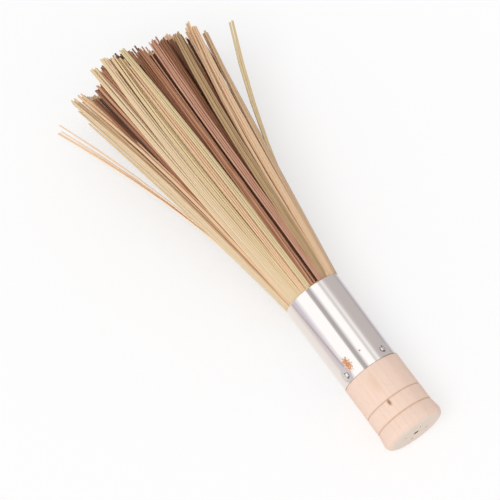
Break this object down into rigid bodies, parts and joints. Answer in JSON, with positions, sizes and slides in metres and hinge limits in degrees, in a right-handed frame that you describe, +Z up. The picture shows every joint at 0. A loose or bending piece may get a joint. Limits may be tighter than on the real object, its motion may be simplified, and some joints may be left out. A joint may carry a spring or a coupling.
{
  "type": "palm brush",
  "caption": "Hand scouring brush: a bundle of comb-split bamboo slats nailed into a bright sheet-steel ferrule on a turned wooden handle that fits the palm.",
  "frame": {"origin": "on the table that the brush lies on, under the middle of its bounding box", "axes": "+Y along the table towards the bristle tips, +Z up; the brush's own axis rises by about 4.3 degrees towards the tips, because it lies on the rim of its butt and on its lowest bristles"},
  "size_m": [0.1212, 0.29, 0.083],
  "materials": {
    "turned_wood": "fine turned, bare, pale pinkish cream",
    "peg_wood": "sawn, bare",
    "sheet_steel": "mirror-bright rolled sheet",
    "nail_steel": "bright wire nail",
    "bamboo_pale": "split bamboo, straw",
    "bamboo_brown": "split bamboo, red-brown"
  },
  "bodies": {
    "root": {"core_peg": "peg_wood", "ferrule": "sheet_steel", "ferrule_nails": "nail_steel", "handle": "turned_wood", "slat_ring1_01": "bamboo_pale", "slat_ring1_02": "bamboo_brown", "slat_ring1_03": "bamboo_pale", "slat_ring1_04": "bamboo_pale", "slat_ring1_05": "bamboo_pale", "slat_ring1_06": "bamboo_pale", "slat_ring1_07": "bamboo_pale", "slat_ring1_08": "bamboo_brown", "slat_ring1_09": "bamboo_pale", "slat_ring1_10": "bamboo_pale", "slat_ring1_11": "bamboo_pale", "slat_ring1_12": "bamboo_brown", "slat_ring1_13": "bamboo_pale", "slat_ring1_14": "bamboo_pale", "slat_ring2_01": "bamboo_brown", "slat_ring2_02": "bamboo_pale", "slat_ring2_03": "bamboo_pale", "slat_ring2_04": "bamboo_brown", "slat_ring2_05": "bamboo_pale", "slat_ring2_06": "bamboo_brown", "slat_ring2_07": "bamboo_brown", "slat_ring2_08": "bamboo_pale", "slat_ring2_09": "bamboo_pale", "slat_ring2_10": "bamboo_brown", "slat_ring2_11": "bamboo_pale", "slat_ring2_12": "bamboo_pale", "slat_ring3_01": "bamboo_pale", "slat_ring3_02": "bamboo_brown", "slat_ring3_03": "bamboo_pale", "slat_ring3_04": "bamboo_pale", "slat_ring3_05": "bamboo_brown", "slat_ring3_06": "bamboo_brown", "slat_ring3_07": "bamboo_pale", "slat_ring3_08": "bamboo_pale", "slat_ring3_09": "bamboo_pale", "slat_ring4_01": "bamboo_pale", "slat_ring4_02": "bamboo_pale", "slat_ring4_03": "bamboo_brown", "slat_ring4_04": "bamboo_pale", "slat_ring4_05": "bamboo_pale", "slat_ring4_06": "bamboo_brown", "slat_ring4_07": "bamboo_pale", "slat_ring5_01": "bamboo_pale", "slat_ring5_02": "bamboo_brown", "slat_ring5_03": "bamboo_pale", "slat_ring5_04": "bamboo_pale", "slat_ring5_05": "bamboo_pale", "slat_ring6_01": "bamboo_pale", "slat_ring6_02": "bamboo_pale", "slat_ring6_03": "bamboo_brown", "slat_ring6_04": "bamboo_pale", "slat_ring7_01": "bamboo_brown", "slat_ring7_02": "bamboo_pale", "slat_ring7_03": "bamboo_pale"}
  },
  "joints": []
}
